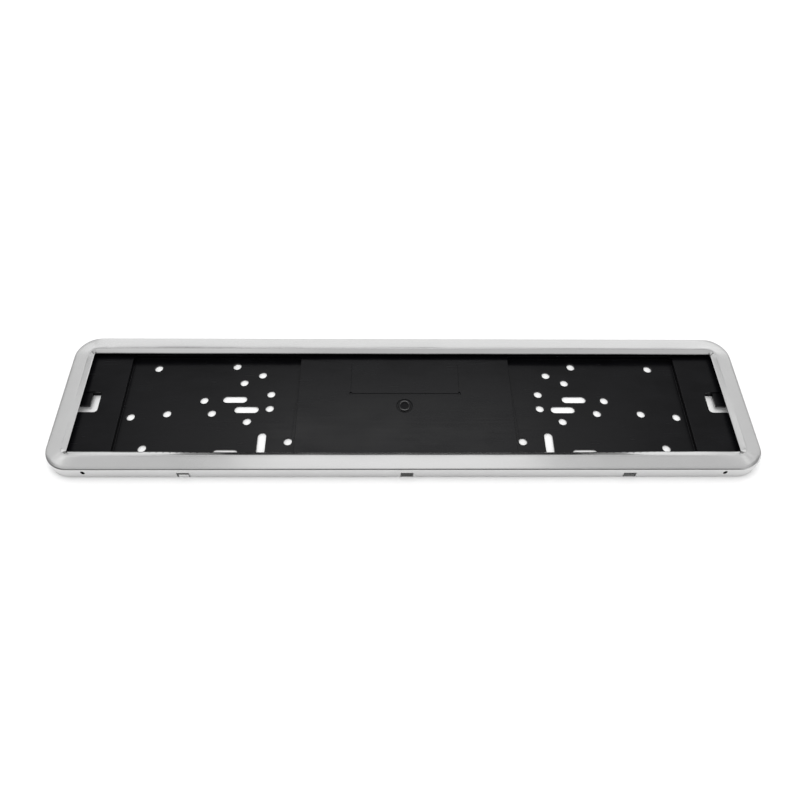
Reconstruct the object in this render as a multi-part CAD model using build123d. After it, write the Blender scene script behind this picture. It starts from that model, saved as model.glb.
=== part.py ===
"""Number plate holder: a pressed steel frame around a moulded plastic base panel.

The holder lies on its back, face up. X runs along the plate, -Y is the edge with the screw holes and
+Z points out of the face. The origin is under the middle, on the plane that the back rests on.
"""

import os
from math import cos, hypot, radians

from build123d import *

# The plate that the holder is made for
PLATE_LENGTH = 520.0
PLATE_HEIGHT = 112.0

# Steel frame: one sheet folded into a wall, a flange and a lip
SHEET = 0.6
PLATE_MARGIN = 5.0  # edge of the plate to the outer face of the wall
WALL_HEIGHT = 11.5  # back edge of the wall to the outer edge of the flange
CORNER_RADIUS = 19.0  # outer corners of the wall
FLANGE_WIDTH = 11.4
FLANGE_RISE = 1.6  # the flange climbs by this much from the wall to the fold
LIP_WIDTH = 3.9
LIP_DROP = 2.4
LIP_CORNER_RADIUS = 1.5
WALL_BEND_RADIUS = 1.0  # outside of the bend between wall and flange, pressed sharp inside
FOLD_RADIUS = 2.0  # outside of the fold between flange and lip

# Screw holes through the near wall, and the bosses of the panel behind them
WALL_SCREW_MARGIN = 25.0  # end of the plate to the screw hole
WALL_SCREW_Z = 7.0
WALL_SCREW_DIAMETER = 3.0
BOSS_LENGTH = 9.0
BOSS_HEIGHT = 8.5  # back plane to the top of the boss
BITE_WIDTH = 2.2  # slot in the boss that the screw cuts its thread in

# Catches: tongues cut in the long walls on three sides and pushed inwards
CATCHES = [(-163.0, 16.0), (0.5, 50.0), (165.0, 34.0)]  # place along the wall, and degrees of lean
CATCH_WIDTH = 9.4
CATCH_BOTTOM = 1.0
CATCH_WINDOW_HEIGHT = 5.6
CATCH_SLIT = 1.0  # gap left by the cut on each side of a tongue

# Base panel: one plastic moulding
PANEL_WALL = 2.0
SEAT_HEIGHT = 6.0  # back plane to the face that carries the plate
FIT_CLEARANCE = 0.25  # base panel to the inside of the steel wall
CATCH_CLEARANCE = 0.2  # under the seat, over the tips of the tongues
NOTCH_CLEARANCE = 1.5  # beside each tongue, in the skirt
PLATE_CLEARANCE = 0.4  # plate edge to the screw bosses
SKIRT_LIFT = 0.5  # the skirt and the ribs end this far above the back plane

# Pockets that hold the screw holes, mirrored left and right
POCKET_END_MARGIN = 40.5  # end of the plate to the outer wall of the pocket
POCKET_LENGTH = 135.5
POCKET_HALF_HEIGHT = 47.0
POCKET_CORNER_RADIUS = 3.0

# Screw holes and slots of one pocket: distance in from its outer wall, and Y
HOLE_DIAMETER = 6.4
HOLE_PLACES = [
    (20.5, 37.0),
    (83.5, 39.0),
    (105.0, 30.5),
    (91.0, 23.0),
    (113.5, 12.0),
    (61.5, 6.0),
    (113.5, -1.5),
    (7.0, -9.5),
    (34.5, -6.5),
    (69.0, -6.0),
    (97.0, -13.5),
    (130.0, -31.5),
    (21.0, -37.5),
]
SLOT_WIDTH = 6.4
SLOT_LENGTH = 19.0
LEVEL_SLOT_PLACES = [(85.5, 7.0), (95.5, -2.5), (83.5, -41.5)]
UPRIGHT_SLOT_PLACES = [(110.0, -33.0)]

# End windows, each with a spring tongue rooted on its far side
WINDOW_END_MARGIN = 2.5  # end of the plate to the outer edge of the window
WINDOW_LENGTH = 20.0
WINDOW_NEAR_Y = -7.7
WINDOW_FAR_Y = 11.4
WINDOW_CORNER_RADIUS = 3.0
TONGUE_INNER_GAP = 7.1
TONGUE_END_GAP = 6.5
TONGUE_WIDTH = 8.0
TONGUE_DROP = 1.0  # top of the tongue below the seat

# Moulding marks on the middle of the seat
GATE_X = -0.6
GATE_Y = -1.7
GATE_RING_DIAMETER = 12.4
GATE_RING_WIDTH = 1.5
GATE_DISH_DIAMETER = 6.0
GATE_DEPTH = 0.5
INSERT_HALF_LENGTH = 42.8
INSERT_NEAR_Y = 10.0
INSERT_FAR_Y = 38.0
INSERT_LINE_WIDTH = 0.6
INSERT_LINE_DEPTH = 0.3
INSERT_SIDE_WIDTH = 0.4
INSERT_SIDE_DEPTH = 0.15
INSERT_DOT = 2.0
INSERT_DOT_DEPTH = 0.8

# Ribs under the raised parts of the panel
RIB_WALL = 1.4
RIB_Y = 20.0
RIB_SPACING = 40.0
END_RIB_MARGIN = 31.0  # end of the plate to the rib between pocket and window

# Sizes that follow from the ones above
FRAME_LENGTH = PLATE_LENGTH + 2 * PLATE_MARGIN
FRAME_HEIGHT = PLATE_HEIGHT + 2 * PLATE_MARGIN
WALL_SCREW_X = PLATE_LENGTH / 2 - WALL_SCREW_MARGIN
POCKET_OUTER_X = PLATE_LENGTH / 2 - POCKET_END_MARGIN
POCKET_INNER_X = POCKET_OUTER_X - POCKET_LENGTH
WINDOW_INNER_X = PLATE_LENGTH / 2 - WINDOW_END_MARGIN - WINDOW_LENGTH
END_RIB_X = PLATE_LENGTH / 2 - END_RIB_MARGIN
FOLD_Z = WALL_HEIGHT + FLANGE_RISE
LIP_Z = FOLD_Z - LIP_DROP
OPENING_INSET = FLANGE_WIDTH + LIP_WIDTH
FOLD_CORNER_RADIUS = CORNER_RADIUS - FLANGE_WIDTH
PANEL_INSET = SHEET + FIT_CLEARANCE
SEAT_UNDERSIDE = SEAT_HEIGHT - PANEL_WALL


def rounded_face(inset, z, radius):
    """Rounded rectangle set in from the outside of the frame, at height z."""
    sketch = RectangleRounded(FRAME_LENGTH - 2 * inset, FRAME_HEIGHT - 2 * inset, radius)
    return Pos(0, 0, z) * sketch


def edges_at(shape, z):
    """Edges that lie level at height z."""
    return shape.edges().filter_by(lambda edge: abs(edge.bounding_box().min.Z - z) < 1e-4
                                   and abs(edge.bounding_box().max.Z - z) < 1e-4)


def wall_block(inset, height):
    """Block inside one skin of the wall."""
    return extrude(rounded_face(inset, 0, CORNER_RADIUS - inset), height)


def flange_climb(bend_z, fold_inset, fold_corner, fold_z):
    """Solid under one skin of the flange, from the bend up to the fold."""
    return loft([rounded_face(WALL_BEND_RADIUS, bend_z, CORNER_RADIUS - WALL_BEND_RADIUS),
                 rounded_face(fold_inset, fold_z, fold_corner)], ruled=True)


def lip_funnel(fold_inset, fold_corner, fold_z, edge_z):
    """Solid inside one skin of the lip, from the fold down to its free edge."""
    return loft([rounded_face(OPENING_INSET, edge_z, LIP_CORNER_RADIUS),
                 rounded_face(fold_inset, fold_z, fold_corner)], ruled=True)


def pressed_sheet():
    """The frame before its walls are pierced: what lies between its upper and its lower skin."""
    climb = FLANGE_RISE / (FLANGE_WIDTH - WALL_BEND_RADIUS)
    fall = LIP_DROP / LIP_WIDTH
    flange_depth = SHEET * hypot(1, climb)
    lip_depth = SHEET * hypot(1, fall)
    # The lower skins of flange and lip cross a little outside the fold of the upper ones
    shift = (lip_depth - flange_depth) / (climb + fall)
    under_inset = FLANGE_WIDTH - shift
    under_corner = FOLD_CORNER_RADIUS + shift
    under_z = FOLD_Z - flange_depth - shift * climb

    outside = wall_block(0, WALL_HEIGHT)
    outside = fillet(edges_at(outside, WALL_HEIGHT), WALL_BEND_RADIUS)
    outside += flange_climb(WALL_HEIGHT, FLANGE_WIDTH, FOLD_CORNER_RADIUS, FOLD_Z)
    outside -= lip_funnel(FLANGE_WIDTH, FOLD_CORNER_RADIUS, FOLD_Z, LIP_Z)
    outside -= extrude(rounded_face(OPENING_INSET, 0, LIP_CORNER_RADIUS), LIP_Z)
    outside = fillet(edges_at(outside, FOLD_Z), FOLD_RADIUS)

    hollow = wall_block(SHEET, WALL_HEIGHT - SHEET)
    hollow += flange_climb(WALL_HEIGHT - SHEET, under_inset, under_corner, under_z)
    hollow -= lip_funnel(under_inset, under_corner, under_z, LIP_Z - lip_depth)
    return outside - hollow


def near_wall_screw_holes():
    """Cutters for the two screw holes of the near wall."""
    drill = Cylinder(WALL_SCREW_DIAMETER / 2, 2 * SHEET)
    return [Pos(side * WALL_SCREW_X, -FRAME_HEIGHT / 2 + SHEET / 2, WALL_SCREW_Z) * Rot(90, 0, 0) * drill
            for side in (-1, 1)]


def catch_window():
    """Cutter for one catch in the near wall, at X = 0."""
    block = Box(CATCH_WIDTH, SHEET, CATCH_WINDOW_HEIGHT, align=(Align.CENTER, Align.MIN, Align.MIN))
    return Pos(0, -FRAME_HEIGHT / 2, CATCH_BOTTOM) * block


def catch_tongue(lean):
    """Tongue of one catch, leaning in from the foot of its window, at X = 0."""
    least_lean = min(angle for x, angle in CATCHES)
    length = (SEAT_UNDERSIDE - CATCH_CLEARANCE - CATCH_BOTTOM) / cos(radians(least_lean))
    width = CATCH_WIDTH - 2 * CATCH_SLIT
    blade = Box(width, SHEET, length + SHEET, align=(Align.CENTER, Align.MIN, Align.MIN))
    blade = Pos(0, 0, -SHEET) * blade
    place = Pos(0, -FRAME_HEIGHT / 2, CATCH_BOTTOM) * Rot(-lean, 0, 0)
    slab = Box(2 * CATCH_WIDTH, FRAME_HEIGHT, SEAT_HEIGHT, align=(Align.CENTER, Align.MIN, Align.MIN))
    inside_wall = Pos(0, -FRAME_HEIGHT / 2, 0) * slab
    return (place * blade) & inside_wall


def make_steel_frame():
    frame = pressed_sheet()
    frame -= near_wall_screw_holes()
    for turn in (0, 180):
        for x, lean in CATCHES:
            place = Rot(0, 0, turn) * Pos(x, 0, 0)
            frame -= place * catch_window()
            frame += place * catch_tongue(lean)
    return frame


def pocket_outline(wall):
    """Outline of the right-hand pocket with square corners, grown by a wall all round."""
    middle = Pos((POCKET_INNER_X + POCKET_OUTER_X) / 2, 0)
    return middle * Rectangle(POCKET_LENGTH + 2 * wall, 2 * (POCKET_HALF_HEIGHT + wall))


def pocket_shell():
    """Outside of the right-hand pocket; its bevels keep the wall even round the rounded corners inside."""
    outline = pocket_outline(PANEL_WALL)
    return extrude(chamfer(outline.vertices(), POCKET_CORNER_RADIUS), SEAT_UNDERSIDE)


def pocket_cavity():
    """Cutter for the inside of the right-hand pocket."""
    outline = pocket_outline(0)
    outline = fillet(outline.vertices(), POCKET_CORNER_RADIUS)
    return Pos(0, 0, PANEL_WALL) * extrude(outline, SEAT_HEIGHT - PANEL_WALL)


def both_ends(shape):
    """A right-hand shape and its mirror image on the left."""
    return [shape, mirror(shape, about=Plane.YZ)]


def screw_cutters():
    """Cutters for the holes and slots of the right-hand pocket."""
    hole = extrude(Circle(HOLE_DIAMETER / 2), PANEL_WALL)
    slot = extrude(SlotOverall(SLOT_LENGTH, SLOT_WIDTH), PANEL_WALL)
    upright = Rot(0, 0, 90) * slot
    cutters = [Pos(POCKET_OUTER_X - inset, y, 0) * hole for inset, y in HOLE_PLACES]
    cutters += [Pos(POCKET_OUTER_X - inset, y, 0) * slot for inset, y in LEVEL_SLOT_PLACES]
    cutters += [Pos(POCKET_OUTER_X - inset, y, 0) * upright for inset, y in UPRIGHT_SLOT_PLACES]
    return cutters


def end_window():
    """Cutter for the window of the right-hand end."""
    outline = Rectangle(WINDOW_LENGTH, WINDOW_FAR_Y - WINDOW_NEAR_Y, align=Align.MIN)
    outline = fillet(outline.vertices().group_by(Axis.X)[0], WINDOW_CORNER_RADIUS)
    return Pos(WINDOW_INNER_X, WINDOW_NEAR_Y, SEAT_UNDERSIDE) * extrude(outline, PANEL_WALL)


def end_tongue():
    """Spring tongue in the right-hand window, rooted under the seat on the far side."""
    near = WINDOW_NEAR_Y + TONGUE_END_GAP
    far = WINDOW_FAR_Y + PANEL_WALL
    blade = Box(TONGUE_WIDTH, far - near, PANEL_WALL, align=(Align.MIN, Align.MIN, Align.MAX))
    return Pos(WINDOW_INNER_X + TONGUE_INNER_GAP, near, SEAT_HEIGHT - TONGUE_DROP) * blade


def moulding_marks():
    """Cutters for the ring and dish of the gate, and for the outline of the mould insert."""
    ring = Circle(GATE_RING_DIAMETER / 2) - Circle(GATE_RING_DIAMETER / 2 - GATE_RING_WIDTH)
    dish = Circle(GATE_DISH_DIAMETER / 2)
    marks = [Pos(GATE_X, GATE_Y, SEAT_HEIGHT) * extrude(face, -GATE_DEPTH) for face in (ring, dish)]
    line = Rectangle(2 * INSERT_HALF_LENGTH, INSERT_LINE_WIDTH)
    marks.append(Pos(0, INSERT_NEAR_Y, SEAT_HEIGHT) * extrude(line, -INSERT_LINE_DEPTH))
    side_height = INSERT_FAR_Y - INSERT_NEAR_Y
    for end in (-1, 1):
        corner = Pos(end * INSERT_HALF_LENGTH, INSERT_NEAR_Y, SEAT_HEIGHT)
        side = Pos(0, side_height / 2) * Rectangle(INSERT_SIDE_WIDTH, side_height)
        marks.append(corner * extrude(side, -INSERT_SIDE_DEPTH))
        marks.append(corner * extrude(Rectangle(INSERT_DOT, INSERT_DOT), -INSERT_DOT_DEPTH))
    return marks


def underside_ribs():
    """Ribs that stiffen the raised middle and the ends."""
    low = SKIRT_LIFT
    height = SEAT_UNDERSIDE - low
    skirt_face = FRAME_HEIGHT - 2 * PANEL_INSET - 2 * PANEL_WALL
    pocket_face = 2 * (POCKET_INNER_X - PANEL_WALL)
    standing = (Align.CENTER, Align.CENTER, Align.MIN)
    cross = Box(RIB_WALL, skirt_face, height, align=standing)
    along = Box(pocket_face, RIB_WALL, height, align=standing)
    ribs = [Pos(0, end * RIB_Y, low) * along for end in (-1, 1)]
    ribs += [Pos(step * RIB_SPACING, 0, low) * cross for step in (-1, 0, 1)]
    ribs += [Pos(end * END_RIB_X, 0, low) * cross for end in (-1, 1)]
    return ribs


def screw_boss():
    """Block behind the right-hand screw hole of the near wall."""
    face = -FRAME_HEIGHT / 2 + PANEL_INSET
    depth = -PLATE_HEIGHT / 2 - PLATE_CLEARANCE - face
    block = Box(BOSS_LENGTH, depth, BOSS_HEIGHT - SKIRT_LIFT, align=(Align.CENTER, Align.MIN, Align.MIN))
    return Pos(WALL_SCREW_X, face, SKIRT_LIFT) * block


def screw_bite():
    """Cutter for the slot, open at the top, that the right-hand screw bites into."""
    face = -FRAME_HEIGHT / 2 + PANEL_INSET
    low = WALL_SCREW_Z - WALL_SCREW_DIAMETER / 2
    block = Box(BITE_WIDTH, PLATE_MARGIN, BOSS_HEIGHT - low, align=(Align.CENTER, Align.MIN, Align.MIN))
    return Pos(WALL_SCREW_X, face, low) * block


def catch_notch():
    """Cutter that clears one tongue through the skirt of the near side, at X = 0."""
    block = Box(CATCH_WIDTH + 2 * NOTCH_CLEARANCE, 2 * PANEL_WALL, SEAT_UNDERSIDE,
                align=(Align.CENTER, Align.MIN, Align.MIN))
    return Pos(0, -FRAME_HEIGHT / 2 + SHEET, 0) * block


def make_base_panel():
    corner = CORNER_RADIUS - PANEL_INSET
    outline = rounded_face(PANEL_INSET, 0, corner)
    skirt_hollow = rounded_face(PANEL_INSET + PANEL_WALL, 0, corner - PANEL_WALL)
    panel = Pos(0, 0, SEAT_UNDERSIDE) * extrude(outline, PANEL_WALL)
    panel += Pos(0, 0, SKIRT_LIFT) * extrude(outline - skirt_hollow, SEAT_UNDERSIDE - SKIRT_LIFT)
    panel += underside_ribs()
    panel += both_ends(pocket_shell())
    panel += both_ends(screw_boss())
    for cutter in [pocket_cavity(), end_window(), screw_bite()] + screw_cutters():
        panel -= both_ends(cutter)
    panel += both_ends(end_tongue())
    for turn in (0, 180):
        panel -= [Rot(0, 0, turn) * Pos(x, 0, 0) * catch_notch() for x, lean in CATCHES]
    panel -= moulding_marks()
    return panel


os.makedirs("parts", exist_ok=True)
for node, shape in (("steel_frame", make_steel_frame()), ("base_panel", make_base_panel())):
    export_step(shape, f"parts/{node}.step")
    print(node, round(shape.volume), "mm3")
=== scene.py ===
# %% [markdown]
# # A number plate holder
# The holder comes apart into two pieces: a frame pressed from one sheet of stainless steel, and a black
# moulded base panel that clips inside it. The measured model of both is loaded first and never moves.
# What is made below sits in the same place at the same size, so nothing has to be fitted by eye.

# %% Load the measured model
from math import atan, cos, pi, radians, tan

import bmesh
import bpy
from mathutils import Matrix, Vector


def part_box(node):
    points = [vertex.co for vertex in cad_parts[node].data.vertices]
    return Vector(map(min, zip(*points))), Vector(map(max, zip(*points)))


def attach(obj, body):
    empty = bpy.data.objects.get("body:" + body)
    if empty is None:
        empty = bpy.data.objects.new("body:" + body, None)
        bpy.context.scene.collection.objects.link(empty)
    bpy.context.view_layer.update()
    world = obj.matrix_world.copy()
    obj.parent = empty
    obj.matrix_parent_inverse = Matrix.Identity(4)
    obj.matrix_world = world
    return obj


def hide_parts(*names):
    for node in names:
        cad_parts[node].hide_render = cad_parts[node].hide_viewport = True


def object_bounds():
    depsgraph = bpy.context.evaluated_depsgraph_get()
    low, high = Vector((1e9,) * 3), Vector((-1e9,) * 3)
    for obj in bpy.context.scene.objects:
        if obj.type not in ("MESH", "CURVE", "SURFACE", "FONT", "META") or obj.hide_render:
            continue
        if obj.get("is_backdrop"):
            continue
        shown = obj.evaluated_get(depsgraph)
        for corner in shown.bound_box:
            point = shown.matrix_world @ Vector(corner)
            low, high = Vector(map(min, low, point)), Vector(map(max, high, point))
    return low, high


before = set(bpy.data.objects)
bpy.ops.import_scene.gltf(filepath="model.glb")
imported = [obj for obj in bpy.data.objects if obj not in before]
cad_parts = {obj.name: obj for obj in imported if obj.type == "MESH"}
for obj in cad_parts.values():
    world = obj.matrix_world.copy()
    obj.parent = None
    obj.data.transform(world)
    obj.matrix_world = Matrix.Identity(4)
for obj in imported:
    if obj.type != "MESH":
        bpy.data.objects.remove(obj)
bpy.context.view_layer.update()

MM = 0.001
frame_low, frame_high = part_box("steel_frame")
panel_low, panel_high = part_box("base_panel")


def in_mm(lengths):
    """Lengths in rounded millimetres, for printing."""
    return [round(length / MM, 2) for length in lengths]


print("frame:", in_mm(frame_high - frame_low), "mm, panel:", in_mm(panel_high - panel_low), "mm")

# %% [markdown]
# ## A few habits for working by script
# An operator acts on whatever is selected, and the loaded model arrives selected. So each new piece
# starts with everything deselected. Inside a mesh, edges are picked by where they lie, as a modeller
# would click them.


# %% Helpers for starting a piece and for selecting by place
def start_fresh():
    """Leaves edit mode and deselects everything."""
    if bpy.context.mode != "OBJECT":
        bpy.ops.object.mode_set(mode="OBJECT")
    bpy.ops.object.select_all(action="DESELECT")


def only(piece):
    """Makes one piece the selected and active one."""
    start_fresh()
    piece.select_set(True)
    bpy.context.view_layer.objects.active = piece
    return piece


def select_edges(piece, wanted):
    """Enters edit mode and selects the edges whose two end points satisfy a test."""
    only(piece)
    bpy.ops.object.mode_set(mode="EDIT")
    bpy.ops.mesh.select_mode(type="EDGE")
    bpy.ops.mesh.select_all(action="DESELECT")
    mesh = bmesh.from_edit_mesh(piece.data)
    for edge in mesh.edges:
        edge.select_set(wanted(*(corner.co for corner in edge.verts)))
    bmesh.update_edit_mesh(piece.data)


def apply_modifier(piece, kind, **settings):
    """Adds one modifier with its settings and applies it."""
    only(piece)
    modifier = piece.modifiers.new(kind.lower(), kind)
    for name, value in settings.items():
        setattr(modifier, name, value)
    bpy.ops.object.modifier_apply(modifier=modifier.name)


# %% [markdown]
# ## The section of the pressed sheet
# The frame is one sheet, 0.6 mm thick. Its section is a wall, a flange that climbs a little towards the
# inside, and a lip that drops to the plate. Only the four places where the sheet turns or ends are
# needed. The outline is that of the measured model. The wall, the climb and both bends differ from it
# by less than a millimetre, because the lines of light and shade along the bends are then as thin as on
# the real frame. The wall ends just above the floor, which leaves a soft dark line under it.

# %% Sizes of the section
FRAME_LENGTH = frame_high.x - frame_low.x
FRAME_WIDTH = frame_high.y - frame_low.y
SHEET = 0.6 * MM
CORNER_RADIUS = 19 * MM
WALL_HEIGHT = 11.35 * MM
FLANGE_WIDTH = 11.4 * MM
FLANGE_RISE = 1.75 * MM
LIP_WIDTH = 3.9 * MM
LIP_DROP = 2.4 * MM
LIP_CORNER_RADIUS = 1.5 * MM
BEND_RADIUS = 1.4 * MM
FOLD_RADIUS = 1.2 * MM
FOOT_Z = 0.5 * MM

climb = FLANGE_RISE / FLANGE_WIDTH
FOLD_Z = WALL_HEIGHT + FLANGE_RISE
LIP_Z = FOLD_Z - LIP_DROP
RINGS = [  # inset from the outline, height, corner radius
    (0, FOOT_Z, CORNER_RADIUS),
    (0, WALL_HEIGHT, CORNER_RADIUS),
    (FLANGE_WIDTH, FOLD_Z, CORNER_RADIUS - FLANGE_WIDTH),
    (FLANGE_WIDTH + LIP_WIDTH, LIP_Z, LIP_CORNER_RADIUS),
]
print("section from foot to lip:", [in_mm((inset, height)) for inset, height, radius in RINGS], "mm")

# %% [markdown]
# ## Four rings, bridged into a sheet
# A sheet like this could be swept along a path, but then the corners of the lip could not be tighter
# than the path allows. On the real frame they are nearly sharp. So each corner point of the section
# becomes a ring: a plane with rounded corners and its face taken out. All rings have the same number of
# points, and bridging them gives clean strips of quads: wall, flange and lip.

# %% Rings
CORNER_STEPS = 16
LONG_CUTS = 99
SHORT_CUTS = 16


def add_ring(inset, height, radius):
    """A rounded rectangle of edges, set in from the outside of the frame."""
    start_fresh()
    bpy.ops.mesh.primitive_plane_add(size=1)
    ring = bpy.context.object
    bpy.ops.object.mode_set(mode="EDIT")
    bpy.ops.transform.resize(value=(FRAME_LENGTH - 2 * inset, FRAME_WIDTH - 2 * inset, 1))
    bpy.ops.transform.translate(value=(0, 0, height))
    bpy.ops.mesh.bevel(affect="VERTICES", offset=radius, segments=CORNER_STEPS)
    bpy.ops.mesh.delete(type="ONLY_FACE")
    select_edges(ring, lambda a, b: (a - b).length > FRAME_WIDTH)
    bpy.ops.mesh.subdivide(number_cuts=LONG_CUTS)
    select_edges(ring, lambda a, b: (a - b).length > FRAME_WIDTH / 4)
    bpy.ops.mesh.subdivide(number_cuts=SHORT_CUTS)
    return ring


rings = [add_ring(*ring) for ring in RINGS]
only(rings[0])
for ring in rings:
    ring.select_set(True)
bpy.ops.object.join()
sheet = bpy.context.object
sheet.name = "pressed_frame"
print("rings of", len(sheet.data.vertices) // len(RINGS), "points each")

# %% Bridge neighbouring rings, then round the bend and the fold
CLOSE = 0.01 * MM
BEND_STEPS = 6


def lies_at(point, height):
    """True for a point at a given height."""
    return abs(point.z - height) < CLOSE


heights = [height for inset, height, radius in RINGS]
for low, high in zip(heights, heights[1:]):
    select_edges(sheet, lambda a, b: any(lies_at(a, z) and lies_at(b, z) for z in (low, high)))
    bpy.ops.mesh.bridge_edge_loops()

wall_to_flange = radians(90) - atan(climb)
flange_to_lip = atan(climb) + atan(LIP_DROP / LIP_WIDTH)
bends = [(WALL_HEIGHT, BEND_RADIUS, wall_to_flange), (FOLD_Z, FOLD_RADIUS, flange_to_lip)]
for height, radius, turn in bends:
    select_edges(sheet, lambda a, b: lies_at(a, height) and lies_at(b, height))
    bpy.ops.mesh.bevel(offset=radius * tan(turn / 2), segments=BEND_STEPS)
bpy.ops.mesh.select_all(action="SELECT")
bpy.ops.mesh.normals_make_consistent(inside=False)
bpy.ops.object.mode_set(mode="OBJECT")
print("sheet:", len(sheet.data.polygons), "faces")

# %% [markdown]
# ## The near lip is not quite straight
# Real pressings relax when they leave the tool. On this one the lip lies flatter beside both near
# corners and catches the light there. Proportional editing does this as a hand would: a few points are
# pushed and their neighbours follow. Points that must stay are hidden first.


# %% Pushing some points, with their neighbours
def select_points(piece, wanted):
    """Enters edit mode and selects the points that satisfy a test."""
    only(piece)
    bpy.ops.object.mode_set(mode="EDIT")
    bpy.ops.mesh.select_mode(type="VERT")
    bpy.ops.mesh.select_all(action="DESELECT")
    mesh = bmesh.from_edit_mesh(piece.data)
    for point in mesh.verts:
        if not point.hide:
            point.select_set(wanted(point.co))
    mesh.select_flush_mode()
    bmesh.update_edit_mesh(piece.data)
    return sum(point.select for point in mesh.verts)


def push(piece, free, moved, by, reach):
    """Moves some of the free points, and the free points within reach follow smoothly."""
    select_points(piece, free)
    bpy.ops.mesh.hide(unselected=True)
    count = select_points(piece, moved)
    bpy.ops.transform.translate(value=by, use_proportional_edit=True, proportional_edit_falloff="SMOOTH",
                                proportional_size=reach)
    bpy.ops.mesh.reveal(select=False)
    return count


# %% Lift the lip beside the near corners
NEAR = -FRAME_WIDTH / 2
LEFT, RIGHT = -1, 1
LIFTS = {LEFT: Vector((0, -0.3, 1.3)) * MM, RIGHT: Vector((0, -0.3, 1.4)) * MM}
LIFT_START = 190 * MM
LIFT_END = 246 * MM
LIFT_REACH = 75 * MM


def on_near_edge(p):
    """True on the free edge of the near lip."""
    return lies_at(p, LIP_Z) and abs(p.y - NEAR - FLANGE_WIDTH - LIP_WIDTH) < CLOSE


for side, lift in LIFTS.items():
    lifted = push(sheet, on_near_edge, lambda p: LIFT_START < side * p.x < LIFT_END, lift, LIFT_REACH)
    print("lifted", lifted, "points")

# %% [markdown]
# ## Rows across the sheet, and soft corners
# The strips are one face wide, too few for a sheet that is not quite flat. Cutting the edges that cross
# each strip adds rows. At the corners the metal was stretched, and the fold fades there, so those
# points are smoothed.

# %% Rows and corners
ROW_STEP = 2 * MM
ROW_ROUNDS = 2
SOFT_REACH = 26 * MM
SOFT_Z = WALL_HEIGHT + 0.4 * MM
SOFT_INSET = FLANGE_WIDTH + 0.6 * LIP_WIDTH
SOFT_ROUNDS = 12


def crosses(a, b):
    """True for an edge that runs across its strip and is long enough to cut."""
    return abs(a.z - b.z) > CLOSE and (a - b).length > ROW_STEP


def inset_of(p):
    """How far a point lies inside the outline of the frame."""
    return min(FRAME_LENGTH / 2 - abs(p.x), FRAME_WIDTH / 2 - abs(p.y))


def in_soft_corner(p):
    """True on the flange and the upper lip near a corner of the frame."""
    beside = abs(p.x) > FRAME_LENGTH / 2 - SOFT_REACH and abs(p.y) > FRAME_WIDTH / 2 - SOFT_REACH
    return beside and p.z > SOFT_Z and inset_of(p) < SOFT_INSET


for cut in range(ROW_ROUNDS):
    select_edges(sheet, crosses)
    bpy.ops.mesh.subdivide(number_cuts=1)
soft = select_points(sheet, in_soft_corner)
bpy.ops.mesh.vertices_smooth(factor=0.5, repeat=SOFT_ROUNDS)
bpy.ops.object.mode_set(mode="OBJECT")
print("smoothed", soft, "corner points of", len(sheet.data.vertices))

# %% [markdown]
# ## A dent, then thickness
# A dent of a tenth of a millimetre beside the near left corner is enough to make the light roll over
# the flange. Solidify then grows the sheet inwards, so that its outside keeps its size. The foot of the
# wall is rolled under, and a fine bevel breaks the free edges, as deburring does, so that they glint.

# %% A shallow dent in the near flange
DENT = Vector((-219, -55)) * MM
DENT_LENGTH = 36 * MM
DENT_WIDTH = 2.6 * MM
DENT_REACH = 4.4 * MM
DENT_DEPTH = 0.1 * MM


def on_near_flange(p):
    """True on the near flange, short of its fold."""
    return p.y < NEAR + 0.9 * FLANGE_WIDTH and p.z > WALL_HEIGHT


def in_dent(p):
    """True along the middle line of the dent."""
    return abs(p.x - DENT.x) < DENT_LENGTH / 2 and abs(p.y - DENT.y) < DENT_WIDTH / 2


dented = push(sheet, on_near_flange, in_dent, (0, 0, -DENT_DEPTH), DENT_REACH)
print("dented", dented, "points")

# %% Thickness, rolled foot and broken edges
FOOT_RADIUS = 0.45 * MM
FOOT_STEPS = 3
EDGE_BREAK = 0.12 * MM
EDGE_ANGLE = radians(60)


def on_outer_foot(p):
    """True on the lowest line of the outside of the wall."""
    corner = Vector((FRAME_LENGTH / 2 - CORNER_RADIUS, FRAME_WIDTH / 2 - CORNER_RADIUS))
    beyond = Vector((abs(p.x), abs(p.y))) - corner
    outside = Vector((max(beyond.x, 0), max(beyond.y, 0))).length > CORNER_RADIUS - SHEET / 2
    return outside and lies_at(p, FOOT_Z)


apply_modifier(sheet, "SOLIDIFY", thickness=SHEET, offset=-1, use_even_offset=True,
               use_quality_normals=True)
select_edges(sheet, lambda a, b: on_outer_foot(a) and on_outer_foot(b))
bpy.ops.mesh.bevel(offset=FOOT_RADIUS, segments=FOOT_STEPS)
bpy.ops.object.mode_set(mode="OBJECT")
apply_modifier(sheet, "BEVEL", width=EDGE_BREAK, segments=2, limit_method="ANGLE", angle_limit=EDGE_ANGLE)
print("with thickness:", len(sheet.data.polygons), "faces")

# %% [markdown]
# ## Slack in the sheet
# Look along the lip of the real frame and its reflections waver, since thin sheet is never flat. A
# Displace with a soft cloud moves the sheet by a few tenths of a millimetre. Its weight grows from
# nothing at the wall to full at the free edge, and it only pushes down, so the frame never grows out of
# its measured box.

# %% Let the flange and lip waver
SLACK_SIZE = 45 * MM
SLACK_DEPTH = 0.7 * MM
LIP_EDGE_INSET = 14 * MM

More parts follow.
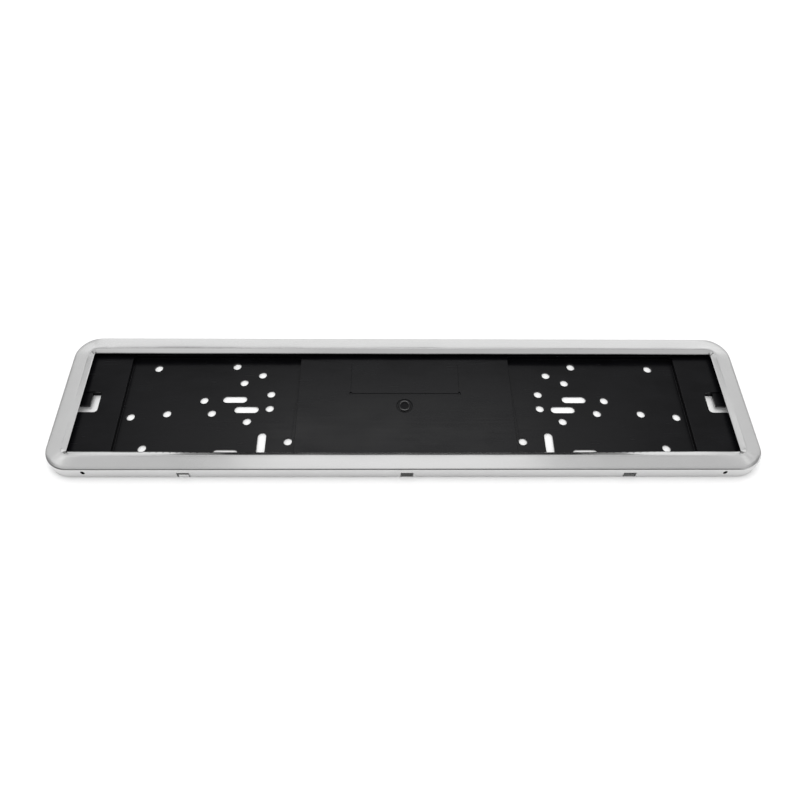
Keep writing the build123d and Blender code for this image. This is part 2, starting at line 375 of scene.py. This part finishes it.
slack = sheet.vertex_groups.new(name="slack")
for point in sheet.data.vertices:
    reach = inset_of(point.co) / (FLANGE_WIDTH + LIP_WIDTH)
    slack.add([point.index], min(1, max(0, reach)) ** 2, "REPLACE")
cloud = bpy.data.textures.new("slack_cloud", "CLOUDS")
cloud.noise_scale = SLACK_SIZE
apply_modifier(sheet, "DISPLACE", texture=cloud, texture_coords="LOCAL", direction="Z",
               strength=SLACK_DEPTH, mid_level=1, vertex_group="slack")
edge_heights = [point.co.z for point in sheet.data.vertices if inset_of(point.co) > LIP_EDGE_INSET]
print("lip edge now between", in_mm((min(edge_heights), max(edge_heights))), "mm")

# %% [markdown]
# ## Lanced catches and screw holes
# Each catch is a small window cut on three sides, with its tongue pushed in to grip the panel. The
# three on the near wall are not pushed equally far. Two screw holes near the ends let screws through to
# the panel. Seen from above, the bright flank of a straight hole would fill half of it. So the drill
# slants down and inwards, about along the line of sight, and the holes are dark. All cutters are
# joined, and one Boolean cuts them all.

# %% Boxes, joining and Booleans
NEAR_WALL, FAR_WALL = -1, 1
CATCHES = [(-163 * MM, 16), (0.5 * MM, 50), (165 * MM, 34)]  # place along the wall, and degrees of lean
CATCH_WIDTH = 9.4 * MM
CATCH_BOTTOM = 1 * MM
CATCH_HEIGHT = 5.6 * MM
CATCH_SLIT = 1.1 * MM
CUTTER_DEPTH = 4 * SHEET


def add_block(size, middle, name):
    """A box of a given size with its middle at a given place, shaped in edit mode."""
    start_fresh()
    bpy.ops.mesh.primitive_cube_add(size=1)
    block = bpy.context.object
    block.name = name
    bpy.ops.object.mode_set(mode="EDIT")
    bpy.ops.transform.resize(value=size)
    bpy.ops.transform.translate(value=middle)
    bpy.ops.object.mode_set(mode="OBJECT")
    return block


def join(pieces):
    """Joins pieces into the first one."""
    only(pieces[0])
    for piece in pieces:
        piece.select_set(True)
    bpy.ops.object.join()
    return bpy.context.object


def cut_or_fuse(piece, tool, operation):
    """Runs one exact Boolean with a tool piece and removes the tool."""
    apply_modifier(piece, "BOOLEAN", object=tool, operation=operation, solver="EXACT")
    bpy.data.objects.remove(tool)


cutters = []
for wall in (NEAR_WALL, FAR_WALL):
    for x, lean in CATCHES:
        middle = (-wall * x, wall * FRAME_WIDTH / 2, CATCH_BOTTOM + CATCH_HEIGHT / 2)
        cutters.append(add_block((CATCH_WIDTH, CUTTER_DEPTH, CATCH_HEIGHT), middle, "window_cutter"))
print(len(cutters), "window cutters")

# %% Drill the screw holes and cut
SCREW_X = FRAME_LENGTH / 2 - 30 * MM
SCREW_Z = 7 * MM
SCREW_DIAMETER = 3.0 * MM
SCREW_TILT = radians(45)
DRILL_LENGTH = 10 * SHEET
DRILL_STEPS = 32

for side in (LEFT, RIGHT):
    start_fresh()
    bpy.ops.mesh.primitive_cylinder_add(vertices=DRILL_STEPS, radius=SCREW_DIAMETER / 2,
                                        depth=DRILL_LENGTH)
    drill = bpy.context.object
    bpy.ops.object.mode_set(mode="EDIT")
    bpy.ops.transform.rotate(value=radians(90) + SCREW_TILT, orient_axis="X", center_override=(0, 0, 0))
    bpy.ops.transform.translate(value=(side * SCREW_X, NEAR, SCREW_Z))
    bpy.ops.object.mode_set(mode="OBJECT")
    cutters.append(drill)
cut_or_fuse(sheet, join(cutters), "DIFFERENCE")
print("cut:", len(sheet.data.polygons), "faces")

# %% Push the tongues in
TONGUE_TIP = 3.2 * MM
tongue_length = (TONGUE_TIP - CATCH_BOTTOM) / cos(radians(min(lean for x, lean in CATCHES)))
tongue_size = (CATCH_WIDTH - 2 * CATCH_SLIT, SHEET, tongue_length)
hinge = Vector((0, NEAR, CATCH_BOTTOM))
tongues = []
for wall in (NEAR_WALL, FAR_WALL):
    for x, lean in CATCHES:
        tongue = add_block(tongue_size, hinge + Vector((x, SHEET / 2, tongue_length / 2)), "tongue")
        bpy.ops.object.mode_set(mode="EDIT")
        bpy.ops.mesh.select_all(action="SELECT")
        bpy.ops.transform.rotate(value=radians(lean), orient_axis="X", center_override=hinge)
        if wall == FAR_WALL:
            bpy.ops.transform.rotate(value=radians(180), orient_axis="Z", center_override=(0, 0, 0))
        bpy.ops.object.mode_set(mode="OBJECT")
        tongues.append(tongue)
cut_or_fuse(sheet, join(tongues), "UNION")
lowest = min(point.co.z for point in sheet.data.vertices)
print("frame:", len(sheet.data.polygons), "faces, lowest at", in_mm([lowest]), "mm")

# %% [markdown]
# ## The black moulding
# The base panel's shape is right as measured, so the loaded piece stays. A mould leaves small radii on
# every edge, and those catch light. Its mesh is loose triangles, so a Weld comes before the Bevel.

# %% Small radii on the moulding
PANEL_WELD = 0.001 * MM
PANEL_ROUNDING = 0.25 * MM
PANEL_EDGE_ANGLE = radians(40)

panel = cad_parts["base_panel"]
weld = panel.modifiers.new("weld", "WELD")
weld.merge_threshold = PANEL_WELD
soft_edges = panel.modifiers.new("soft_edges", "BEVEL")
soft_edges.width = PANEL_ROUNDING
soft_edges.segments = 2
soft_edges.limit_method = "ANGLE"
soft_edges.angle_limit = PANEL_EDGE_ANGLE
soft_edges.use_clamp_overlap = False
print("panel:", len(panel.data.polygons), "faces, modifiers", [step.name for step in panel.modifiers])

# %% [markdown]
# ## The mark of the gate
# Plastic entered the mould in the middle of the panel. Where the gate was broken off there is a
# rounded, shiny bead, with a dark dish inside it and a dark groove round it. The measured model
# has the groove and the dish. A flattened torus on the edge of the dish gives the bead its round top.
# Its left and right are sunk, as they hardly show on the real one. A thin ring and disc with a dull
# finish lie in the groove and the dish: painted shade for their dark.

# %% Bead of the gate mark
GATE_PLACE = Vector((-0.6, -1.7, 5.9)) * MM
BEAD_RADIUS = 4.1 * MM
BEAD_WIDTH = 1.7 * MM
BEAD_HEIGHT = 1.5 * MM
BEAD_SINK = 0.85 * MM
BEAD_PUSH_REACH = 0.6 * BEAD_RADIUS
ROUND_STEPS = 64
BEAD_STEPS = 20


def anywhere(p):
    """True for every point."""
    return True


def on_bead_side(p):
    """True at the far left and right of the bead."""
    return abs(p.x - GATE_PLACE.x) > BEAD_RADIUS


start_fresh()
bpy.ops.mesh.primitive_torus_add(major_radius=BEAD_RADIUS, minor_radius=BEAD_WIDTH / 2,
                                 major_segments=ROUND_STEPS, minor_segments=BEAD_STEPS)
bead = bpy.context.object
bead.name = "gate_bead"
bpy.ops.object.mode_set(mode="EDIT")
bpy.ops.transform.resize(value=(1, 1, BEAD_HEIGHT / BEAD_WIDTH))
bpy.ops.transform.translate(value=GATE_PLACE)
push(bead, anywhere, on_bead_side, (0, 0, -BEAD_SINK), BEAD_PUSH_REACH)
bpy.ops.object.mode_set(mode="OBJECT")
bpy.ops.object.shade_smooth()
print("bead top at", in_mm([max(p.co.z for p in bead.data.vertices)]), "mm")

# %% Ring and disc of painted shade
GROOVE_RADIUS = 6.15 * MM
GROOVE_WIDTH = 0.6 * MM
DISH_RADIUS = 3.5 * MM
SHADE_DISC_DEPTH = 0.3 * MM

# A ring in the groove and a disc in the dish, whose dull finish is painted shade.
start_fresh()
bpy.ops.mesh.primitive_circle_add(vertices=ROUND_STEPS, radius=GROOVE_RADIUS, fill_type="NGON")
gate_shade_piece = bpy.context.object
gate_shade_piece.name = "gate_painted_shade"
bpy.ops.object.mode_set(mode="EDIT")
bpy.ops.transform.translate(value=GATE_PLACE - Vector((0, 0, SHADE_DISC_DEPTH)))
bpy.ops.mesh.inset(thickness=GROOVE_WIDTH)
bpy.ops.mesh.inset(thickness=GROOVE_RADIUS - GROOVE_WIDTH - DISH_RADIUS)
bpy.ops.mesh.select_all(action="DESELECT")
mesh = bmesh.from_edit_mesh(gate_shade_piece.data)
for face in mesh.faces:
    reach = (face.calc_center_median() - GATE_PLACE).xy.length
    face.select_set(DISH_RADIUS < reach < GROOVE_RADIUS - GROOVE_WIDTH)
bmesh.update_edit_mesh(gate_shade_piece.data)
bpy.ops.mesh.delete(type="FACE")
bpy.ops.object.mode_set(mode="OBJECT")
print("torn spot:", len(gate_shade_piece.data.polygons), "faces")

# %% [markdown]
# ## Flash along the insert
# A rectangular insert in the mould left its outline on the panel. The measured model has it as a
# groove. A skin of plastic, called flash, crept into the gap. It almost fills both sides, so that only
# a trace of them shows, and the far half of the long line, which leaves that line thin and clear.

# %% Three strips of flash
INSERT_SIDE_X = 42.8 * MM
INSERT_LINE_Y = 10 * MM
FLASH_Y = 11.5 * MM, 38 * MM
SIDE_FLASH = 1.0 * MM
LINE_FLASH = 0.55 * MM
FLASH_TOP = 5.98 * MM
FLASH_DEPTH = 0.16 * MM
FLASH_ROUNDING = 0.05 * MM

flash = []
flash_z = FLASH_TOP - FLASH_DEPTH / 2
for side in (LEFT, RIGHT):
    size = (SIDE_FLASH, FLASH_Y[1] - FLASH_Y[0], FLASH_DEPTH)
    flash.append(add_block(size, (side * INSERT_SIDE_X, sum(FLASH_Y) / 2, flash_z), "insert_flash"))
size = (2 * INSERT_SIDE_X - 2 * SIDE_FLASH, LINE_FLASH, FLASH_DEPTH)
flash.append(add_block(size, (0, INSERT_LINE_Y + LINE_FLASH / 2, flash_z), "insert_flash"))
for piece in flash:
    apply_modifier(piece, "BEVEL", width=FLASH_ROUNDING, segments=2)
print("flash:", [piece.name for piece in flash])

# %% [markdown]
# ## Collars under the end windows
# Looking into the windows at the ends, the far side is a deep black wall, not the edge of a thin panel.
# So a collar goes down from each window nearly to the floor. It starts as the outline of the window,
# which is pulled down and given a thickness outwards.

# %% One collar
WINDOW_LOW = Vector((237.5, -7.7)) * MM
WINDOW_HIGH = Vector((257.5, 11.4)) * MM
WINDOW_CORNER = 3 * MM
WINDOW_STEPS = 8
COLLAR_TOP = 4.2 * MM
COLLAR_FOOT = 0.5 * MM
COLLAR_WALL = 1.2 * MM

start_fresh()
bpy.ops.mesh.primitive_plane_add(size=1)
collar = bpy.context.object
collar.name = "window_collar"
bpy.ops.object.mode_set(mode="EDIT")
bpy.ops.transform.resize(value=(*(WINDOW_HIGH - WINDOW_LOW), 1))
bpy.ops.transform.translate(value=(*((WINDOW_HIGH + WINDOW_LOW) / 2), COLLAR_TOP))
select_points(collar, lambda p: p.x < WINDOW_LOW.x + CLOSE)
bpy.ops.mesh.bevel(affect="VERTICES", offset=WINDOW_CORNER, segments=WINDOW_STEPS)
bpy.ops.mesh.select_all(action="SELECT")
bpy.ops.mesh.delete(type="ONLY_FACE")
bpy.ops.mesh.select_all(action="SELECT")
bpy.ops.mesh.extrude_region_move(TRANSFORM_OT_translate={"value": (0, 0, COLLAR_FOOT - COLLAR_TOP)})
bpy.ops.mesh.select_all(action="SELECT")
bpy.ops.mesh.normals_make_consistent(inside=False)
bpy.ops.object.mode_set(mode="OBJECT")
apply_modifier(collar, "SOLIDIFY", thickness=COLLAR_WALL, offset=1, use_even_offset=True)
print("collar:", len(collar.data.polygons), "faces")

# %% Its mirror image at the other end
only(collar)
bpy.ops.object.duplicate()
mirrored = bpy.context.object
bpy.ops.object.mode_set(mode="EDIT")
bpy.ops.mesh.select_all(action="SELECT")
bpy.ops.transform.resize(value=(-1, 1, 1), center_override=(0, 0, 0))
bpy.ops.mesh.normals_make_consistent(inside=False)
bpy.ops.object.mode_set(mode="OBJECT")
collars = [collar, mirrored]
for piece in collars:
    places = [point.co.x for point in piece.data.vertices]
    print(piece.name, "spans", in_mm((min(places), max(places))), "mm along the plate")

# %% [markdown]
# ## Marks that all finishes share
# Neither surface is perfectly even. Rolled sheet has fine streaks along its length and soft blotches,
# and so does a moulding, where the plastic flowed. One node group makes these marks and a fine grain,
# and each finish uses them in its own way. The group works on object coordinates, so the marks are
# sized in real millimetres.

# %% A node group for streaks, blotches and grain
MARKS = [  # name, size along X, Y and Z, detail
    ("Streaks", (60 * MM, 1.6 * MM, 1.6 * MM), 3),
    ("Blotches", (30 * MM, 14 * MM, 14 * MM), 2),
    ("Grain", (1.2 * MM, 0.8 * MM, 0.8 * MM), 1),
]


def add_node(tree, kind, **settings):
    """Adds one node and sets its plain settings."""
    node = tree.nodes.new(kind)
    for name, value in settings.items():
        setattr(node, name, value)
    return node


def add_noise(tree, vector, size, detail):
    """A noise texture whose features are about as large as a given size along X, Y and Z."""
    mapping = add_node(tree, "ShaderNodeMapping")
    mapping.inputs["Scale"].default_value = [1 / length for length in size]
    noise = add_node(tree, "ShaderNodeTexNoise")
    noise.inputs["Scale"].default_value = 1
    noise.inputs["Detail"].default_value = detail
    tree.links.new(vector, mapping.inputs["Vector"])
    tree.links.new(mapping.outputs["Vector"], noise.inputs["Vector"])
    return noise.outputs["Fac"]


marks = bpy.data.node_groups.new("surface_marks", "ShaderNodeTree")
for name, size, detail in MARKS:
    marks.interface.new_socket(name, in_out="OUTPUT", socket_type="NodeSocketFloat")
place = add_node(marks, "ShaderNodeTexCoord").outputs["Object"]
group_output = add_node(marks, "NodeGroupOutput")
for name, size, detail in MARKS:
    marks.links.new(add_noise(marks, place, size, detail), group_output.inputs[name])
print("marks:", [socket.name for socket in marks.interface.items_tree])

# %% [markdown]
# ## Satin steel
# The steel is a metal all through, so its colour is its reflection. Streaks and blotches change how
# sharp that reflection is.

# %% Helpers for finishes
MIDDLE_RANGE = 0.3, 0.7


def add_finish(name):
    """A material with the shared marks; returns it with its tree, shader and marks."""
    material = bpy.data.materials.new(name)
    material.use_nodes = True
    tree = material.node_tree
    group = add_node(tree, "ShaderNodeGroup", node_tree=marks)
    return material, tree, tree.nodes["Principled BSDF"], group.outputs


def map_range(tree, value, before, after, **settings):
    """Maps a value from one range to another."""
    node = add_node(tree, "ShaderNodeMapRange", **settings)
    for name, number in zip(("From Min", "From Max", "To Min", "To Max"), (*before, *after)):
        node.inputs[name].default_value = number
    tree.links.new(value, node.inputs["Value"])
    return node.outputs["Result"]


def blend(tree, value, dark, light):
    """Mixes two colours by the middle range of a noise."""
    node = add_node(tree, "ShaderNodeMix", data_type="RGBA")
    node.inputs["A"].default_value = (*dark, 1)
    node.inputs["B"].default_value = (*light, 1)
    tree.links.new(map_range(tree, value, MIDDLE_RANGE, (0, 1)), node.inputs["Factor"])
    return node.outputs["Result"]


def total(tree, first, second):
    """The sum of two values."""
    node = add_node(tree, "ShaderNodeMath", operation="ADD")
    tree.links.new(first, node.inputs[0])
    tree.links.new(second, node.inputs[1])
    return node.outputs["Value"]


def roughen(tree, shader, mark, streaks, blotches):
    """Roughness from two ranges, one that follows the streaks and one that the blotches add."""
    rough = total(tree, map_range(tree, mark["Streaks"], MIDDLE_RANGE, streaks),
                  map_range(tree, mark["Blotches"], MIDDLE_RANGE, blotches))
    tree.links.new(rough, shader.inputs["Roughness"])


def add_bump(tree, shader, height, strength, distance):
    """Lets a noise tilt the surface a little."""
    bump = add_node(tree, "ShaderNodeBump")
    bump.inputs["Strength"].default_value = strength
    bump.inputs["Distance"].default_value = distance
    tree.links.new(height, bump.inputs["Height"])
    tree.links.new(bump.outputs["Normal"], shader.inputs["Normal"])


# %% Steel
STEEL_DARK = (0.60, 0.60, 0.60)
STEEL_LIGHT = (0.63, 0.63, 0.63)
STEEL_ROUGHNESS = 0.14, 0.17
STEEL_BLOTCHES = 0.0, 0.05
STREAK_BUMP = 0.1
STREAK_DEPTH = 0.01 * MM

satin_steel, tree, shader, mark = add_finish("satin_steel")
shader.inputs["Metallic"].default_value = 1
tree.links.new(blend(tree, mark["Blotches"], STEEL_DARK, STEEL_LIGHT), shader.inputs["Base Color"])
roughen(tree, shader, mark, STEEL_ROUGHNESS, STEEL_BLOTCHES)
add_bump(tree, shader, mark["Streaks"], STREAK_BUMP, STREAK_DEPTH)
print("steel:", len(tree.nodes), "nodes")

# %% [markdown]
# ## Four finishes of black plastic
# The plastic is nearly black and shows little more than the sheen of the light behind it. On the panel
# that sheen is weaker than on most plastics, because its skin has a fine grain. The bead of the gate is
# smooth and shines. The ring and disc of the gate mark have a weak, rough sheen, and the collars deep
# under the windows a duller one still: both are painted shade, for the dark of the groove, the dish and
# the windows.

# %% Plastics
PLASTIC_DARK = (0.011, 0.011, 0.013)
PLASTIC_LIGHT = (0.016, 0.016, 0.019)
STREAK_ROUGHNESS = 0.04
BLOTCH_ROUGHNESS = 0.08
GRAIN_BUMP = 0.15
GRAIN_DEPTH = 0.05 * MM
BEAD_IOR = 1.8


def add_plastic(name, sheen, roughness):
    """Black plastic with a given strength of sheen and roughness."""
    material, tree, shader, mark = add_finish(name)
    shader.inputs["Specular IOR Level"].default_value = sheen
    colour = blend(tree, mark["Blotches"], PLASTIC_DARK, PLASTIC_LIGHT)
    tree.links.new(colour, shader.inputs["Base Color"])
    roughen(tree, shader, mark, (roughness, roughness + STREAK_ROUGHNESS), (0.0, BLOTCH_ROUGHNESS))
    add_bump(tree, shader, mark["Grain"], GRAIN_BUMP, GRAIN_DEPTH)
    return material


black_plastic = add_plastic("black_plastic", sheen=0.25, roughness=0.18)
shiny_plastic = add_plastic("shiny_plastic", sheen=1.0, roughness=0.06)
shiny_plastic.node_tree.nodes["Principled BSDF"].inputs["IOR"].default_value = BEAD_IOR
# Painted shade: a weak, rough sheen that darkens the groove and the dish of the gate mark.
painted_shade_plastic = add_plastic("painted_shade_plastic", sheen=0.22, roughness=0.45)
# Painted shade: a duller sheen still, that darkens the collars deep under the windows.
collar_shade_plastic = add_plastic("collar_shade_plastic", sheen=0.12, roughness=0.70)
print("finishes:", [material.name for material in bpy.data.materials])

# %% [markdown]
# ## Finishes on the pieces
# Each piece gets its finish. The pressed sheet takes the place of the measured frame, and the small
# pieces are added to the panel. All of them belong to the one body, since nothing on the holder moves.

# %% Give out the finishes and attach the pieces to the body
SMOOTH_ANGLE = radians(35)

# The ring and disc of the gate mark take a finish that is painted shade.
finishes = {sheet: satin_steel, panel: black_plastic, bead: shiny_plastic, gate_shade_piece: painted_shade_plastic}
for piece in flash:
    finishes[piece] = black_plastic
# The collars take the duller finish: painted shade for the dark deep under the windows.
for piece in collars:
    finishes[piece] = collar_shade_plastic
for piece, material in finishes.items():
    piece.data.materials.clear()
    piece.data.materials.append(material)
only(sheet)
bpy.ops.object.shade_smooth_by_angle(angle=SMOOTH_ANGLE)
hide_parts("steel_frame")
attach(sheet, "root")
for piece in [bead, gate_shade_piece] + flash + collars:
    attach(piece, "root")
print(len(finishes), "pieces have a finish")

# %% [markdown]
# ## A white floor that still takes a shadow
# The paper floor is overexposed in the picture, so it looks plain white, with a thin shadow at the
# frame. A little glow, seen only by the camera and in reflections, lifts the paper to white and adds no
# light of its own to the piece.

# %% Paper floor
FLOOR_SIZE = 8
FLOOR_GLOW = 0.04
PAPER = (0.8, 0.8, 0.8, 1)
WHITE = (1, 1, 1, 1)

start_fresh()
bpy.ops.mesh.primitive_plane_add(size=FLOOR_SIZE)
floor = bpy.context.object
floor.name = "floor"
floor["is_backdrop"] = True
paper = bpy.data.materials.new("white_paper")
paper.use_nodes = True
tree = paper.node_tree
shader = tree.nodes["Principled BSDF"]
shader.inputs["Base Color"].default_value = PAPER
shader.inputs["Roughness"].default_value = 1
shader.inputs["Specular IOR Level"].default_value = 0
shader.inputs["Emission Color"].default_value = WHITE
path = add_node(tree, "ShaderNodeLightPath")
seen = total(tree, path.outputs["Is Camera Ray"], path.outputs["Is Glossy Ray"])
glow = add_node(tree, "ShaderNodeMath", operation="MULTIPLY")
glow.inputs[1].default_value = FLOOR_GLOW
tree.links.new(seen, glow.inputs[0])
tree.links.new(glow.outputs["Value"], shader.inputs["Emission Strength"])
floor.data.materials.append(paper)
print("floor:", FLOOR_SIZE, "m")

# %% [markdown]
# ## A tent that is open in front
# The piece lies in a pale tent that is open low in front. That dark opening draws the thin dark line
# along the near bend. The world makes the tent: its strength rises along an axis that leans up and
# back.

# %% Tent
TENT_BRIGHT = 0.32
TENT_DARK = 0.08
TENT_AXIS = (0, 0.5, 0.87)
TENT_EDGE = 0.05, 0.5

world = bpy.data.worlds.new("tent")
bpy.context.scene.world = world
world.use_nodes = True
tree = world.node_tree
along = add_node(tree, "ShaderNodeVectorMath", operation="DOT_PRODUCT")
along.inputs[1].default_value = TENT_AXIS
tree.links.new(add_node(tree, "ShaderNodeTexCoord").outputs["Generated"], along.inputs[0])
opening = map_range(tree, along.outputs["Value"], TENT_EDGE, (TENT_DARK, TENT_BRIGHT),
                    interpolation_type="SMOOTHSTEP")
tree.links.new(opening, tree.nodes["Background"].inputs["Strength"])
tree.nodes["Background"].inputs["Color"].default_value = WHITE
print("tent from", TENT_DARK, "to", TENT_BRIGHT)

# %% [markdown]
# ## Cards that each light one material
# Satin steel shows what stands round it, so a photographer places white cards until each face has its
# tone. Here the cards are lamps. Steel and black plastic need different cards, and light linking keeps
# them apart: a lamp lights only the pieces in its own collection. Two cards in one plane are seen as one
# in reflections, so those that overlap stand at different distances. The paper has two lamps of its
# own in the same way, one overhead and one as broad as a ceiling. Together they keep its shadow thin,
# and they add nothing to the piece.


# %% Lamps that shine on chosen pieces
def add_lamp(name, place, size, radiance):
    """A rectangular lamp that faces the origin, with a given brightness of its surface."""
    start_fresh()
    bpy.ops.object.light_add(type="AREA", location=place)
    lamp = bpy.context.object
    lamp.name = name
    lamp.data.shape = "RECTANGLE"
    lamp.data.size, lamp.data.size_y = size
    lamp.data.energy = radiance * pi * size[0] * size[1]
    lamp.rotation_euler = (-Vector(place)).to_track_quat("-Z", "Y").to_euler()
    print(name, round(lamp.data.energy, 2), "W")
    return lamp


def shine_only_on(lamp, pieces):
    """Limits a lamp to some of the pieces."""
    receivers = bpy.data.collections.new(lamp.name + "_receivers")
    for piece in pieces:
        receivers.objects.link(piece)
    lamp.light_linking.receiver_collection = receivers


# %% Place the cards and lamps
steel_cards = [  # name, place, width and height, brightness
    add_lamp("tall_card", (0, 0.58, 1.91), (1.1, 1.6), 0.4),
    add_lamp("wide_card", (0, 1.03, 1.71), (2.0, 0.42), 0.3),
    add_lamp("top_card", (0, 0.35, 1.95), (3.4, 0.7), 0.46),
    add_lamp("back_card", (0, 1.63, 0.88), (4.0, 0.9), 0.46),
    add_lamp("back_middle_card", (0.03, 1.54, 0.83), (2.15, 0.85), 0.42),
    add_lamp("left_card", (-1.19, 0.88, 1.34), (1.0, 0.95), 0.56),
    add_lamp("right_card", (1.25, 0.93, 1.27), (1.0, 0.95), 0.55),
    add_lamp("front_card", (0, -0.8, 1.6), (3.0, 0.8), 0.42),
    add_lamp("left_front_card", (-0.75, -0.75, 1.75), (0.8, 0.5), 0.2),
    add_lamp("right_front_card", (1.76, -0.57, 0.75), (2.2, 1.1), 1.1),
]
for card in steel_cards:
    shine_only_on(card, [sheet])
plastic_cards = [
    add_lamp("panel_card", (0, 0.75, 1.85), (1.85, 0.9), 0.6),
    add_lamp("middle_card", (0, 1.0, 1.73), (0.95, 0.3), 1.1),
]
for card in plastic_cards:
    shine_only_on(card, [panel, bead, gate_shade_piece] + flash + collars)
paper_lamps = [
    add_lamp("paper_lamp", (-0.3, 0.4, 3.8), (2.2, 2.2), 3.2),
    add_lamp("paper_ceiling", (0, 0, 1.5), (10, 10), 0.93),
]
for lamp in paper_lamps:
    shine_only_on(lamp, [floor])

# %% [markdown]
# ## The camera
# The photograph was taken from above the near edge with a wide lens. The place and angles below were
# worked out from the corners and holes of the piece, as they appear in the picture.

# %% Camera
CAMERA_PLACE = Vector((-13.25, -303.5, 463.23)) * MM
CAMERA_YAW, CAMERA_DOWN, CAMERA_ROLL = -1.707, 56.093, 1.473
FOCAL_SHARE = 703.34 / 800
SENSOR_WIDTH = 36

start_fresh()
turn = (Matrix.Rotation(radians(CAMERA_YAW), 3, "Z") @ Matrix.Rotation(radians(90 - CAMERA_DOWN), 3, "X")
        @ Matrix.Rotation(radians(CAMERA_ROLL), 3, "Z"))
bpy.ops.object.camera_add(location=CAMERA_PLACE, rotation=turn.to_euler())
camera = bpy.context.object
camera.data.sensor_width = SENSOR_WIDTH
camera.data.lens = FOCAL_SHARE * SENSOR_WIDTH
camera.data.clip_start = 10 * MM
bpy.context.scene.camera = camera
bpy.context.scene.view_settings.view_transform = "Standard"
print("lens:", round(camera.data.lens, 2), "mm")

# %% [markdown]
# ## Last look at the size
# The finished model has to lie inside the box of the measured one. The size of the finished model is
# written down, like the sizes of the measured pieces at the start, so that they can be compared.

# %% Print the size of the finished model
low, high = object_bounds()
print("visual model:", in_mm(high - low), "mm")
